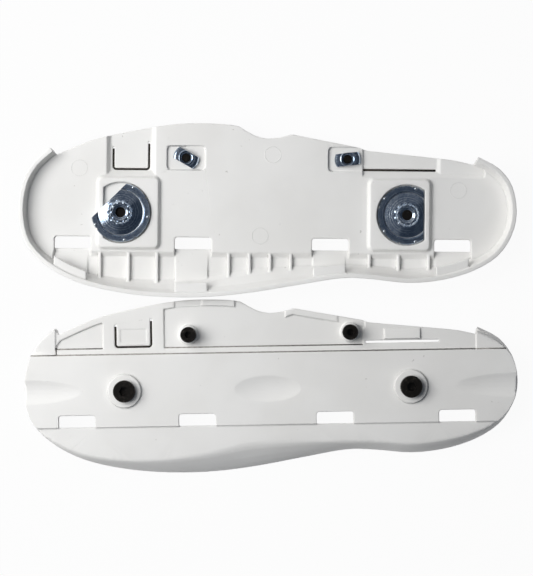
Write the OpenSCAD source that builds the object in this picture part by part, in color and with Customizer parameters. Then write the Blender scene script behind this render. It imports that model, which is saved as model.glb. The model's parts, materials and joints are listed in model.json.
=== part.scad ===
// A left and right pair of soul plates of an aggressive inline skate, laid side by side:
// the left plate boot side up on its bolt heads, the right plate sole up on its rim.
// Millimetres. In a plate's own frame X runs from toe to heel along the bolt line, Y towards the
// inner side of the foot, Z from the sole towards the boot, and Z = 0 is the face of the frame band.

/* [Frame mount] */
// Distance between the two frame bolts
bolt_spacing = 167; // [160:0.5:174]
// Width of the flat band that the frame sits on
band_w = 42; // [39:0.5:44]
// How far the band stands proud of the sole beside it
band_h = 1; // [0.6:0.1:1.4]
// Diameter of the boss that locates the frame on each bolt
boss_d = 19.3; // [17:0.1:21]
// Height of that boss below the band
boss_h = 1.8; // [1:0.1:3]

/* [Outline] */
// Front bolt to the tip of the toe
toe_reach = 59; // [56:0.5:62]
// Rear bolt to the back of the heel
heel_reach = 63.2; // [60:0.5:66]
// Bolt line to the inner edge at the ball of the foot
ball_in = 52.5; // [51:0.5:55]
// Bolt line to the outer edge at the ball of the foot
ball_out = 49.2; // [47:0.5:52]
// Bolt line to the outer edge at the waist
waist_out = 37; // [36:0.5:39]
// Bolt line to the outer edge at the heel
heel_out = 39.6; // [38:0.5:42]
// Bolt line to the inner edge at the heel
heel_in = 36; // [35.5:0.5:38]
// Bolt line to the bottom of the notch in the inner edge
notch_in = 44; // [43:0.5:45]
// Where the notch lies behind the middle of the plate
notch_x = 2; // [0:0.5:4]
// Slope of the side wall, as run at the ball
flare_ball = 8; // [5:0.5:10]
// Slope of the side wall, as run at the arch
flare_arch = 12.5; // [8:0.5:14]
// Slope of the side wall, as run at the heel
flare_heel = 5.2; // [4:0.2:7]

/* [Tray] */
// Thickness of the rim wall
wall = 2.6; // [2:0.1:3.2]
// How much thicker the rim wall is at its foot
draft = 1.2; // [0:0.1:1.6]
// Height of the rim
rim_h = 14.5; // [13:0.5:17]
// Height of the tray floor
floor_h = 6; // [5.4:0.1:6.6]
// Height of the lower shelves: side channel, tongue recess and heel strip
shelf_h = 3.4; // [3:0.1:3.8]
// Height of the thinned panels, seen from the sole
panel_h = 2.6; // [2:0.1:2.8]
// Height of the sole on the inner side, along the band
strip_h = 1.6; // [1.2:0.1:1.8]
// Width of the lip left round the thinned panels
lip_w = 3.5; // [2.5:0.1:4]
// How far the rim's two ends stand outside the floor's edge
edge_step = 4.5; // [4:0.1:5.5]
// Thickness of the ribs in the side channel
rib_t = 1.7; // [1.2:0.1:2.4]
// Spacing of the four ribs at the arch
rib_pitch = 12.1; // [9:0.1:12.5]
// How far the ribs stay below the tray floor
rib_drop = 0.3; // [0.1:0.1:1]

/* [Windows] */
// Length of a window beside the band
window_l = 21.5; // [16:0.5:23]
// Width of a window
window_w = 7; // [5:0.5:8]
// Front bolt to the toe end of the window ahead of it
toe_window = 38.9; // [38:0.1:40]
// Front bolt to the toe end of the window behind it
ball_window = 31.4; // [30:0.1:33]
// Rear bolt to the toe end of the window ahead of it
arch_window = 55.3; // [54:0.1:57]
// Rear bolt to the toe end of the window behind it
heel_window = 16.2; // [15:0.1:17]
// How far a hook ledge reaches in from the rim wall
hook_w = 4.7; // [3:0.1:6]
// Thickness of a hook ledge
hook_t = 2; // [1.5:0.1:3]
// How far a hook ledge lies below the rim
hook_drop = 0.9; // [0.5:0.1:1.5]
// Toe end of a window to its hook
hook_lead = 0.6; // [0.3:0.1:2]
// Hook to the heel end of its window
hook_trail = 2; // [1:0.1:3]
// Height of the ramp under a hook where it meets the wall
ramp_h = 2.5; // [1.5:0.1:3.5]
// Corner radius of the windows
window_r = 1.6; // [1:0.1:2.5]

/* [Sole] */
// Length of the oval scoop in the middle of the band
scoop_l = 39; // [30:1:44]
// Width of that scoop
scoop_w = 15.2; // [12:0.1:18]
// Depth of the three scoops
scoop_t = 1.5; // [0.8:0.1:1.6]
// Reach of the half scoop at the toe
toe_scoop = 34; // [28:1:38]
// Reach of the half scoop at the heel
heel_scoop = 37; // [30:1:40]
// Width of the two half scoops
end_scoop_w = 14.2; // [12:0.1:16]
// Length of the two blank label fields in the lip of the long panel
label_l = 16; // [12:0.5:18]
// How far those fields stand above the panel
label_t = 0.4; // [0.3:0.1:0.6]
// Length of the wedge beside the heel slit
wedge_l = 21; // [16:0.5:24]
// Width of that wedge
wedge_w = 5.8; // [4:0.1:6]
// Height of that wedge
wedge_h = 1.4; // [1:0.1:1.5]

/* [Nut pads] */
// Height of the pads above the floor, which is the depth of the nut pockets
pad_h = 2.5; // [2:0.1:3]
// Length of the pad's top on the flat side of its nut
pad_flat = 12.9; // [12.5:0.1:14.5]
// Length of the pad's top on the round side of its nut
pad_round = 21.6; // [20.5:0.1:23]
// Width of the pad's top
pad_w = 40.2; // [39.5:0.1:41]
// Corner radius of the pad's top
pad_r = 2.4; // [2:0.1:4]
// Run of the pad's sloping sides
pad_run = 1.6; // [1:0.1:1.8]

/* [Frame hardware] */
// Thread of the frame bolts
frame_d = 6; // [5:0.5:6.5]
// Diameter of their heads
frame_head_d = 12.8; // [11:0.1:14]
// Height of their heads
frame_head_h = 4.5; // [4:0.1:6]
// Hexagon socket across its flats
frame_hex = 5; // [4:0.5:6]
// How far their ends stay below the face of the seated nut
frame_sink = 1.2; // [0.5:0.1:2]
// Diameter of the frame nut
nut_d = 34.2; // [32:0.1:35]
// Bolt axis to the flat of the frame nut
nut_flat = 9.5; // [9:0.1:11]
// Thickness of its flange
nut_flange = 2; // [1.5:0.1:2.3]
// Radius at which the flange drops to the foot of the dome
nut_step_r = 13.4; // [12:0.1:14.5]
// Depth of that drop
nut_step_h = 0.7; // [0.3:0.1:1]
// Diameter of its hub
nut_hub_d = 13; // [12:0.1:16]
// Overall height of the nut
nut_h = 4.5; // [4:0.1:5]

/* [Side hardware] */
// Bolt line to the line of the side bolts
side_y = 32.3; // [31.5:0.1:32.8]
// Front side bolt, behind the front frame bolt
side_front = 37.8; // [36:0.1:40]
// Rear side bolt, ahead of the rear frame bolt
side_rear = 35; // [34:0.1:37]
// Thread of the side bolts
side_d = 5; // [4:0.5:5.5]
// Diameter of their heads
side_head_d = 9.1; // [8:0.1:10]
// Height of their heads
side_head_h = 5; // [4:0.1:6]
// Hexagon socket across its flats
side_hex = 4; // [3:0.5:5]
// How far their ends stay below the face of the side nut
side_sink = 0.8; // [0.5:0.1:1.5]
// Diameter of the boss under each side bolt
side_boss_d = 11; // [10:0.1:13]
// Length of the side nut
side_nut_l = 15; // [14.6:0.1:16]
// Width of the side nut across its flats
side_nut_w = 7.4; // [7:0.1:9]
// Thickness of its flange
side_nut_t = 2; // [1.5:0.1:2.5]
// Diameter of its hub
side_hub_d = 9; // [8.5:0.1:10]
// Overall height of the side nut
side_nut_h = 3.8; // [3:0.1:4.5]
// Length of the pocket of the front side nut
side_pocket_l = 22.4; // [20:0.1:24]
// Width of the pockets of the side nuts
side_pocket_w = 14.2; // [14:0.1:14.5]
// Depth of the pockets of the side nuts
side_pocket_t = 1.5; // [1:0.1:1.8]

/* [Tongue] */
// Width of the tongue
tongue_w = 19.6; // [17:0.1:20]
// Length of the tongue on its toe side
tongue_l = 12; // [10:0.5:12.5]
// How much longer its heel side is
tongue_skew = 3.4; // [3:0.1:4]
// Width of the slot round the tongue
slot_w = 1.2; // [1:0.1:1.6]
// Edge of the tongue recess beside that slot
recess_margin = 3.3; // [3:0.1:3.6]
// Run of the sloping ends of the recess
recess_run = 2.2; // [1.5:0.1:2.4]
// Width of the slit beside the heel strip
slit_w = 1.3; // [1:0.1:1.8]
// Length of that slit
slit_l = 43; // [36:0.5:44]

/* [Clearances] */
// Bolt in the thread of its nut, on the radius
thread_gap = 0.05; // [0.03:0.01:0.1]
// Bolt in the plate, on the radius
hole_gap = 0.4; // [0.3:0.05:0.6]
// Nut in its D pocket
pocket_gap = 0.75; // [0.5:0.05:1]
// Nut or bolt head over the face that carries it
seat_gap = 0.1; // [0.05:0.01:0.2]
// Root of the tongue to the plate
root_gap = 0.3; // [0.3:0.05:0.5]

/* [Layout] */
// Left bolt line to right bolt line
pair_pitch = 102; // [101.8:0.1:115]
// How far the right plate lies towards the heel
pair_shift = 2.2; // [0:0.1:6]
// Lay of the left plate, in degrees
left_turn = -0.55; // [-1:0.05:1]
// Lay of the right plate, in degrees
right_turn = 0.95; // [-1:0.05:1]
// Turn of the left front frame nut, which lies on its pad
loose_nut_turn = -45; // [-60:1:60]
// Turn of the left front side nut
front_side_turn = -29; // [-32:1:32]
// Turn of the left rear side nut
rear_side_turn = 7; // [-32:1:32]

/* [Hidden] */
$fn = 64;

moulded = "#ecebe7";
zinc = "#98a3b3";
black = "#1f1c1a";

// How deep a piece of the moulding is rooted in what it stands on
root = 0.6;
// How far a cut runs past the face it opens
past = 2;
// How far the sole of the inner side stands proud of the sole of the rim
hair = 0.05;
// Corner radius of the small pockets
pocket_corner = 2.5;
// Length of one straight step along the outline
step = 5;

front_x = -bolt_spacing / 2;
rear_x = bolt_spacing / 2;
toe_x = front_x - toe_reach;
heel_x = rear_x + heel_reach;
band_edge = band_w / 2;
sole_h = band_h;
pad_top = floor_h + pad_h;
stand_h = boss_h + seat_gap + frame_head_h;
side_seat = side_head_h + seat_gap - stand_h;
side_floor = floor_h - side_pocket_t;
frame_bolt_end = floor_h + seat_gap + nut_h - frame_sink;
side_bolt_end = side_floor + seat_gap + side_nut_h - side_sink;
pocket_r = nut_d / 2 + pocket_gap;
side_front_x = front_x + side_front;
side_rear_x = rear_x - side_rear;
channel_start = toe_x + 19.5;
channel_end = heel_x - 25.7;
channel_edge = band_edge + 1.6;
channel_slope = 2.8;
ramp_edge = band_edge + 0.4;
hook_l = window_l - hook_lead - hook_trail;
recess_edge = band_edge + 1;
panel_edge = band_edge + lip_w;
panel_start = toe_x + 19;
strip_end = heel_x - 24.5;
heel_step_x = side_rear_x + side_nut_l / 2 + 1.5;
slit_y = side_y - 6.6;
slit_end = heel_step_x + slit_l;
heel_shelf_end = heel_x - 18;
wedge_x = heel_step_x + slit_l / 2;
wedge_y = slit_y + slit_w + 1;
tongue_x = front_x + 5.6;
tongue_y = side_y - 6.1;
recess_start = tongue_x - tongue_w / 2 - slot_w - recess_margin;
recess_end = tongue_x + tongue_w / 2 + slot_w + recess_margin;

// Smooth curve through control points, each stretch cut into steps of about the same length
function through(a, b, c, d, t) =
    (2 * b + (c - a) * t + (2 * a - 5 * b + 4 * c - d) * t * t + (3 * b - a - 3 * c + d) * t * t * t) / 2;
function run(a, b) = norm([b.x - a.x, b.y - a.y]);
function smooth(p) = [
    for (i = [0 : len(p) - 2])
        let (n = max(1, round(run(p[i], p[i + 1]) / step)))
        for (k = [0 : n - 1])
            through(p[max(i - 1, 0)], p[i], p[i + 1], p[min(i + 2, len(p) - 1)], k / n),
    p[len(p) - 1]
];

// Inward normal and direction of an anticlockwise path, and the path moved inwards by a share of its flare
function inward(p, i) =
    let (a = p[max(i - 1, 0)], b = p[min(i + 1, len(p) - 1)])
    [a.y - b.y, b.x - a.x] / run(a, b);
function forward(p, i) = let (n = inward(p, i)) [n.y, -n.x];
function inset(p, share, extra) = [
    for (i = [0 : len(p) - 1])
        let (n = inward(p, i), d = p[i].z * share + extra)
        [p[i].x + n.x * d, p[i].y + n.y * d]
];

// Rim: toe end of the inner side, round the toe, along the outer side, round the heel; the third
// number is the flare, the run of the sloping wall below the rim
rim = smooth([
    [toe_x + 18.2, ball_in - 15.4, 0.4],
    [toe_x + 9, ball_in - 23.6, 0.4],
    [toe_x + 2.4, ball_in - 35.2, 0.4],
    [toe_x, 1.5, 0.4],
    [toe_x + 2.3, 35 - ball_out, 0.5],
    [toe_x + 8.6, 24.6 - ball_out, 1.2],
    [toe_x + 21, 14.6 - ball_out, 2.4],
    [toe_x + 38.5, 7 - ball_out, 3.4],
    [front_x + 3.5, 2 - ball_out, flare_ball - 2.5],
    [front_x + 28.5, -ball_out, flare_ball],
    [front_x + 51.5, 0.4 - ball_out, flare_arch - 2],
    [-8, 3 - ball_out, flare_arch],
    [20, -waist_out - 4.4, flare_arch - 3.5],
    [rear_x - 38, -waist_out - 0.2, flare_heel - 0.4],
    [rear_x - 21, -waist_out - 0.6, flare_heel - 0.4],
    [rear_x + 0.5, -heel_out, flare_heel],
    [rear_x + 20.5, 2 - heel_out, flare_heel],
    [heel_x - 25, 7.4 - heel_out, flare_heel - 1],
    [heel_x - 11, 16 - heel_out, 2.5],
    [heel_x - 2.9, 28 - heel_out, 1],
    [heel_x, 2, 0.6],
    [heel_x - 2.7, 17, 1],
    [heel_x - 10.5, 27.4, 2.5],
    [heel_x - 22.7, 34, 3]
]);
rim_last = len(rim) - 1;
// The rim carried straight on past both ends
toe_on = forward(rim, 0) * past;
heel_on = forward(rim, rim_last) * past;
rim_long = concat(
    [rim[0] - [toe_on.x, toe_on.y, 0]],
    rim,
    [rim[rim_last] + [heel_on.x, heel_on.y, 0]]
);
// Ends of the inner edge, just inside the ends of the rim
toe_end = inset(rim, 0, edge_step)[0] + forward(rim, 0) * root;
heel_end = inset(rim, 0, edge_step)[rim_last] - forward(rim, rim_last) * root;

// Inner edge, from the heel back to the toe, with the corners of the shelf and the notch
notch_back = [notch_x + 14, notch_in + 2.6, 0];
notch_front = [notch_x - 17, ball_in - 1.5, 0];
inner_edge = concat(
    smooth([
        [heel_end.x, heel_end.y, 0],
        [rear_x + 29, heel_in - 3.9, 0],
        [rear_x + 16, heel_in - 2.3, 0],
        [rear_x - 7.5, heel_in, 0],
        [heel_step_x + 2, heel_in + 1.7, 0]
    ]),
    [[heel_step_x - 2, heel_in + 3.2, 0]],
    smooth([
        notch_back,
        [notch_x + 7, notch_in + 0.7, 0],
        [notch_x, notch_in, 0],
        [notch_x - 8, notch_in + 1.8, 0],
        notch_front
    ]),
    smooth([
        [notch_x - 21, ball_in - 0.7, 0],
        [front_x + 53.5, ball_in, 0],
        [front_x + 34, ball_in - 0.3, 0],
        [front_x + 8.5, ball_in - 4.1, 0],
        [front_x - 16.5, ball_in - 10.1, 0],
        [toe_end.x, toe_end.y, 0]
    ])
);
outer_side = [for (p = rim) if (p.y < 0) p];
outer_y = [for (p = outer_side) [p.x, p.y]];
outer_flare = [for (p = outer_side) [p.x, p.z]];

// The wall's section: share of the height from sole to rim, and share of the flare there
section = [[0, 1.2], [0.045, 1.04], [0.12, 0.87], [0.37, 0.51], [0.66, 0.2], [1, 0]];
function height(k) = sole_h + (rim_h - sole_h) * section[k][0];
function flare_share(z) = lookup((z - sole_h) / (rim_h - sole_h), section);
function wall_at(z) = wall + draft * max(0, (rim_h - z) / (rim_h - floor_h));
mid_wall = wall * 0.6;

// Solid between closed rings of equal length, one above the other. Each end is a double fan: the edges on
// the toe half meet in one hub, the edges on the heel half in another
hub_x = [toe_x + 26, heel_x - 26];
module loft(rings, heights) {
    n = len(rings[0]);
    last = len(rings) - 1;
    low = n * len(rings);
    high = low + 2;
    half = [for (i = [0 : n - 1]) rings[0][i].x + rings[0][(i + 1) % n].x > 0 ? 1 : 0];
    polyhedron(
        points = concat(
            [for (k = [0 : last]) for (p = rings[k]) [p.x, p.y, heights[k]]],
            [for (k = [0, last]) for (x = hub_x) [x, 0, heights[k]]]
        ),
        faces = [
            for (i = [0 : n - 1])
                let (j = (i + 1) % n, a = half[i], b = half[j])
                each concat(
                    [[i, j, low + a], [last * n + j, last * n + i, high + a]],
                    a == b ? [] : [[low + a, j, low + b], [high + b, last * n + j, high + a]],
                    [for (k = [0 : last - 1]) [k * n + i, (k + 1) * n + i, (k + 1) * n + j]],
                    [for (k = [0 : last - 1]) [k * n + i, (k + 1) * n + j, k * n + j]]
                )
        ]
    );
}

// Rectangle from corner to corner with rounded corners
function corner(c, r, from) = [for (a = [0 : 18 : 90]) c + r * [cos(from + a), sin(from + a)]];
module rounded(a, b, r) {
    polygon(concat(
        corner([b.x - r, b.y - r], r, 0),
        corner([a.x + r, b.y - r], r, 90),
        corner([a.x + r, a.y + r], r, 180),
        corner([b.x - r, a.y + r], r, 270)
    ));
}
module slab(z0, z1) {
    translate([0, 0, z0])
        linear_extrude(z1 - z0)
            children();
}
// Outline in Y and Z drawn out along X
module along_x(x0, x1, profile) {
    translate([x0, 0, 0])
        rotate([90, 0, 90])
            linear_extrude(x1 - x0)
                polygon(profile);
}
// Outline in X and Z drawn out along Y
module along_y(y0, y1, profile) {
    translate([0, y1, 0])
        rotate([90, 0, 0])
            linear_extrude(y1 - y0)
                polygon(profile);
}
module block(a, b) {
    translate(a)
        cube(b - a);
}

// Windows and their hooks, by the toe side of each window
window_starts = [front_x - toe_window, front_x + ball_window, rear_x - arch_window, rear_x + heel_window];
rib_places = concat(
    [front_x - 12.1, front_x + 4.6, front_x + 21.2],
    [for (i = [0 : 3]) -20.4 + rib_pitch * i],
    [rear_x - 21.7, rear_x - 4.7, rear_x + 13]
);

module tray_body() {
    last = len(section) - 1;
    ends = inset(rim, 0, edge_step + root);
    loft(
        [for (k = [0 : last]) concat(inset(rim, section[k][1], 0), [ends[rim_last], ends[0]])],
        [for (k = [0 : last]) height(k)]
    );
    slab(sole_h - hair, floor_h + root)
        polygon(concat(
            inset(inner_edge, 0, 0),
            [[toe_end.x + band_edge, -lip_w], [heel_end.x - band_edge, -lip_w]]
        ));
}
// Space inside the rim wall between two heights, open towards the inner side
module inside_rim(levels) {
    beyond = [[heel_x - 30, 2 * ball_in], [toe_x + 30, 2 * ball_in]];
    loft(
        [for (z = levels) concat(inset(rim_long, flare_share(z), wall_at(z)), beyond)],
        levels
    );
}
module side_channel() {
    intersection() {
        inside_rim([shelf_h - root, floor_h, floor_h + past]);
        along_x(channel_start, channel_end, [
            [-channel_edge, floor_h + past / 2],
            [-channel_edge, floor_h],
            [-channel_edge - channel_slope, shelf_h],
            [-2 * ball_out, shelf_h],
            [-2 * ball_out, floor_h + past / 2]
        ]);
    }
    for (x = window_starts)
        block(
            [x, -channel_edge - channel_slope, shelf_h],
            [x + window_l, root - band_edge, floor_h + past]);
}
// Plan of the outer side from the ramps' edge to the middle of the rim wall
module outer_plan(share) {
    path = inset(outer_side, share, mid_wall);
    last = len(path) - 1;
    polygon(concat([[path[0].x, -band_edge]], path, [[path[last].x, -band_edge]]));
}
module ribs() {
    for (x = rib_places) {
        y = lookup(x, outer_y);
        flare = lookup(x, outer_flare);
        low = y + flare * flare_share(shelf_h - root) + mid_wall;
        high = y + flare * flare_share(floor_h) + mid_wall;
        along_x(x - rib_t / 2, x + rib_t / 2, [
            [-channel_edge + root, shelf_h - root],
            [low, shelf_h - root],
            [high, floor_h - rib_drop],
            [-channel_edge + root, floor_h - rib_drop]
        ]);
    }
}
// Ramp that rises from each window towards the wall, under the hook
module ramps() {
    run_out = ball_out - ramp_edge;
    intersection() {
        slab(shelf_h - root, floor_h + past)
            outer_plan(flare_share(shelf_h - root));
        for (x = window_starts)
            along_x(x + hook_lead, x + hook_lead + hook_l, [
                [-ramp_edge, shelf_h - root],
                [-ramp_edge - run_out, shelf_h - root],
                [-ramp_edge - run_out, shelf_h + ramp_h],
                [-ramp_edge, shelf_h - root / 3]
            ]);
    }
}
module hooks() {
    top = rim_h - hook_drop;
    share = flare_share(top - hook_t);
    wall_side = inset(outer_side, share, mid_wall);
    free_side = inset(outer_side, share, wall + hook_w);
    intersection() {
        slab(top - hook_t, top)
            polygon(concat(wall_side, [for (i = [len(free_side) - 1 : -1 : 0]) free_side[i]]));
        for (x = window_starts)
            block([x + hook_lead, -2 * ball_out, 0], [x + hook_lead + hook_l, 0, rim_h + past]);
    }
}
module band() {
    intersection() {
        slab(0, sole_h + root)
            polygon(concat(inset(rim, section[0][1], 0.05), [[0, ball_in]]));
        block([toe_x - past, -band_edge, -past], [heel_x + past, band_edge, floor_h]);
    }
}
// Rounded block of one nut pad; flat_dir points to the flat side of the nut
module pad(x, flat_dir) {
    a = flat_dir < 0 ? pad_flat : pad_round;
    b = flat_dir < 0 ? pad_round : pad_flat;
    module plan(run)
        rounded([x - a - run, -pad_w / 2 - run], [x + b + run, pad_w / 2 + run], pad_r + run);
    hull() {
        slab(floor_h - root, floor_h)
            plan(pad_run);
        slab(pad_top - hair, pad_top)
            plan(0);
    }
}
module nut_pocket(x, flat_dir) {
    flat = nut_flat + pocket_gap;
    translate([x, 0, floor_h])
        intersection() {
            cylinder(r = pocket_r, h = pad_h + past);
            translate([-flat_dir * (2 * pocket_r - flat), 0, 0])
                cube([4 * pocket_r, 4 * pocket_r, 4 * pad_h + 4 * past], center = true);
        }
}
// Recess for the tongue and the lower heel strip, cut from the boot side
module shelves() {
    far = ball_in + past;
    top = floor_h + past / 2;
    foot = 0.3;
    heel_shelf = shelf_h + 0.9;
    // Slope from the floor's edge down to the shelf, which starts at foot_y
    module across(x0, x1, foot_y)
        along_x(x0, x1, [
            [recess_edge, top], [recess_edge, floor_h], [foot_y, shelf_h], [far, shelf_h], [far, top]
        ]);
    intersection() {
        across(recess_start, recess_end, tongue_y - slot_w - foot);
        along_y(0, far, [
            [recess_start, top], [recess_start, floor_h], [recess_start + recess_run, shelf_h],
            [recess_end - recess_run, shelf_h], [recess_end, floor_h], [recess_end, top]
        ]);
    }
    intersection() {
        across(heel_step_x, heel_shelf_end, slit_y - foot);
        along_y(0, far, [
            [heel_step_x, top], [heel_step_x, shelf_h], [slit_end + foot, shelf_h],
            [slit_end + foot + recess_run, heel_shelf], [heel_shelf_end, heel_shelf], [heel_shelf_end, top]
        ]);
    }
}
// Thinned panels on the inner side, cut from the sole; a lip stays along the edge except at the notch
module panels() {
    lip_plan = inset(inner_edge, 0, lip_w);
    far = ball_in + past;
    low = -past;
    label_h = panel_h - label_t;
    intersection() {
        slab(low, panel_h)
            polygon(concat([[heel_x, 0]], lip_plan, [[toe_x, 0]]));
        union() {
            block([panel_start, panel_edge, low], [recess_start - lip_w, far, panel_h]);
            block([recess_end + lip_w, panel_edge, low], [heel_step_x - slit_w, far, panel_h]);
        }
    }
    block([notch_front.x - lip_w, panel_edge + past, low], [notch_x + 9, far, panel_h]);
    block([side_front_x - label_l / 2, ball_in - label_l, low], [side_front_x + label_l / 2, far, label_h]);
    block([heel_step_x - label_l, side_y + past, low], [heel_step_x, far, label_h]);
    block([panel_start, band_edge, low], [strip_end, far, strip_h]);
}
module windows() {
    r = window_r;
    top = -band_edge + window_w;
    slab(-past, floor_h + past)
        for (x = window_starts)
            polygon(concat(
                corner([x + window_l - r, top - r], r, 0),
                corner([x + r, top - r], r, 90),
                [[x, top - window_w], [x + window_l, top - window_w]]
            ));
}
// Shallow scoop with an oval edge, cut into the face of the band
module scoop(x, l, w, depth) {
    ball_r = (w * w / 4 + depth * depth) / (2 * depth);
    drop = ball_r - depth;
    long_r = l / 2 / sqrt(1 - pow(drop / ball_r, 2));
    reach = l / 2 + past;
    translate([x, 0, -drop])
        rotate([0, 90, 0])
            rotate_extrude()
                polygon(concat(
                    [[0, -reach]],
                    [for (i = [-8 : 8]) [ball_r * sqrt(1 - pow(reach * i / 8 / long_r, 2)), reach * i / 8]],
                    [[0, reach]]
                ));
}
// Plan of the tongue, or of the slot round it when grown by a margin on three sides
module tongue_plan(margin, root_margin) {
    x0 = tongue_x - tongue_w / 2 - margin;
    x1 = tongue_x + tongue_w / 2 + margin;
    y0 = tongue_y - margin;
    r = 1 + margin;
    polygon(concat(
        corner([x0 + r, y0 + r], r, 180),
        corner([x1 - r, y0 + r], r, 270),
        [
            [x1, tongue_y + tongue_l + tongue_skew + root_margin],
            [x0, tongue_y + tongue_l + root_margin]
        ]
    ));
}

module plate() {
    color(moulded)
        difference() {
            union() {
                difference() {
                    tray_body();
                    inside_rim([floor_h, height(4), rim_h, rim_h + past]);
                    side_channel();
                    shelves();
                    panels();
                }
                band();
                ribs();
                ramps();
                hooks();
                pad(front_x, -1);
                pad(rear_x, 1);
                for (x = [front_x, rear_x])
                    translate([x, 0, -boss_h])
                        cylinder(d = boss_d, h = boss_h + root);
                for (x = [side_front_x, side_rear_x])
                    translate([x, side_y, side_seat])
                        cylinder(d = side_boss_d, h = side_floor - side_seat);
                along_x(wedge_x - wedge_l / 2, wedge_x + wedge_l / 2, [
                    [wedge_y, strip_h + root],
                    [wedge_y, strip_h - wedge_h],
                    [wedge_y + wedge_w, strip_h - wedge_h / 2],
                    [wedge_y + wedge_w, strip_h + root]
                ]);
            }
            windows();
            nut_pocket(front_x, -1);
            nut_pocket(rear_x, 1);
            for (x = [front_x, rear_x])
                translate([x, 0, -boss_h - past])
                    cylinder(d = frame_d + 2 * hole_gap, h = boss_h + pad_top + 2 * past);
            for (x = [side_front_x, side_rear_x])
                translate([x, side_y, side_seat - past])
                    cylinder(d = side_d + 2 * hole_gap, h = stand_h + floor_h + 2 * past);
            slab(side_floor, floor_h + past) {
                rounded(
                    [side_front_x - side_pocket_l / 2, side_y - side_pocket_w / 2],
                    [side_front_x + side_pocket_l / 2, side_y + side_pocket_w / 2], pocket_corner);
                rounded(
                    [side_rear_x - side_pocket_l / 2, side_y - side_pocket_w / 2],
                    [heel_step_x + 2 * past, side_y + side_pocket_w / 2], pocket_corner);
            }
            slab(-past, floor_h + past) {
                tongue_plan(slot_w, root_gap);
                rounded([heel_step_x, slit_y], [slit_end, slit_y + slit_w], 0.5);
            }
            scoop(0, scoop_l, scoop_w, scoop_t);
            scoop(toe_x, 2 * toe_scoop, end_scoop_w, scoop_t);
            scoop(heel_x, 2 * heel_scoop, end_scoop_w, scoop_t);
        }
}
module tongue() {
    field_t = 0.3;
    inner = 2;
    color(moulded)
        difference() {
            slab(strip_h, shelf_h)
                tongue_plan(0, 0);
            slab(strip_h - past, strip_h + field_t)
                rounded(
                    [tongue_x - tongue_w / 2 + inner, tongue_y + inner],
                    [tongue_x + tongue_w / 2 - inner, tongue_y + tongue_l - inner], inner / 3);
        }
}
// Frame nut with its flat towards -X, its seat at Z = 0
module frame_nut() {
    bore = frame_d / 2 + thread_gap;
    rim_r = nut_d / 2;
    hub_r = nut_hub_d / 2;
    bevel = 0.4;
    hub_bevel = 0.8;
    dome_h = 1;
    countersink = 1.5;
    nick_r = 0.8;
    nick_turns = [-100, -15, 75];
    color(zinc)
        difference() {
            rotate_extrude()
                polygon([
                    [bore, 0], [rim_r - bevel, 0], [rim_r, bevel], [rim_r, nut_flange - bevel],
                    [rim_r - bevel, nut_flange], [nut_step_r + nut_step_h, nut_flange],
                    [nut_step_r, nut_flange - nut_step_h],
                    [hub_r + bevel, nut_flange + dome_h],
                    [hub_r, nut_h - hub_bevel], [hub_r - hub_bevel, nut_h],
                    [bore + countersink, nut_h], [bore, nut_h - countersink]
                ]);
            translate([-nut_flat - rim_r, 0, nut_h / 2])
                cube([2 * rim_r, 3 * rim_r, 2 * nut_h], center = true);
            for (a = nick_turns)
                rotate([0, 0, a])
                    translate([rim_r + nick_r / 4, 0, -past])
                        cylinder(r = nick_r, h = nut_h + 2 * past);
        }
}
// Socket-head bolt, its head hanging below Z = 0
module bolt(d, head_d, head_h, hex, l) {
    bevel = 0.5;
    color(black)
        difference() {
            rotate_extrude()
                polygon([
                    [0, -head_h], [head_d / 2 - bevel, -head_h],
                    [head_d / 2, bevel - head_h], [head_d / 2, 0],
                    [d / 2, 0], [d / 2, l - bevel], [d / 2 - bevel, l], [0, l]
                ]);
            translate([0, 0, -head_h - past])
                cylinder(d = hex / cos(30), h = past + head_h * 0.6, $fn = 6);
        }
}
// Side nut: round flange, hub and bore, cut to two flats along X, its seat at Z = 0
module side_nut() {
    bore = side_d / 2 + thread_gap;
    rim_r = side_nut_l / 2;
    hub_r = side_hub_d / 2;
    bevel = 0.6;
    countersink = 0.8;
    color(zinc)
        intersection() {
            rotate_extrude()
                polygon([
                    [bore, 0], [rim_r, 0], [rim_r, side_nut_t - bevel], [rim_r - bevel, side_nut_t],
                    [hub_r, side_nut_t], [hub_r, side_nut_h - bevel], [hub_r - bevel, side_nut_h],
                    [bore + countersink, side_nut_h], [bore, side_nut_h - countersink]
                ]);
            translate([-side_nut_l, -side_nut_w / 2, -past])
                cube([2 * side_nut_l, side_nut_w, side_nut_h + 2 * past]);
        }
}

// Hardware in a plate's own frame
module seated_nut(x, turn) {
    translate([x, 0, floor_h + seat_gap])
        rotate([0, 0, turn])
            frame_nut();
}
module loose_nut(x) {
    translate([x, 0, pad_top + seat_gap])
        rotate([0, 0, loose_nut_turn])
            frame_nut();
}
module frame_bolt(x) {
    head_top = -boss_h - seat_gap;
    translate([x, 0, head_top])
        bolt(frame_d, frame_head_d, frame_head_h, frame_hex, frame_bolt_end - head_top);
}
module placed_side_nut(x, turn) {
    translate([x, side_y, side_floor + seat_gap])
        rotate([0, 0, turn])
            side_nut();
}
module side_bolt(x) {
    head_top = side_seat - seat_gap;
    translate([x, side_y, head_top])
        bolt(side_d, side_head_d, side_head_h, side_hex, side_bolt_end - head_top);
}

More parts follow.
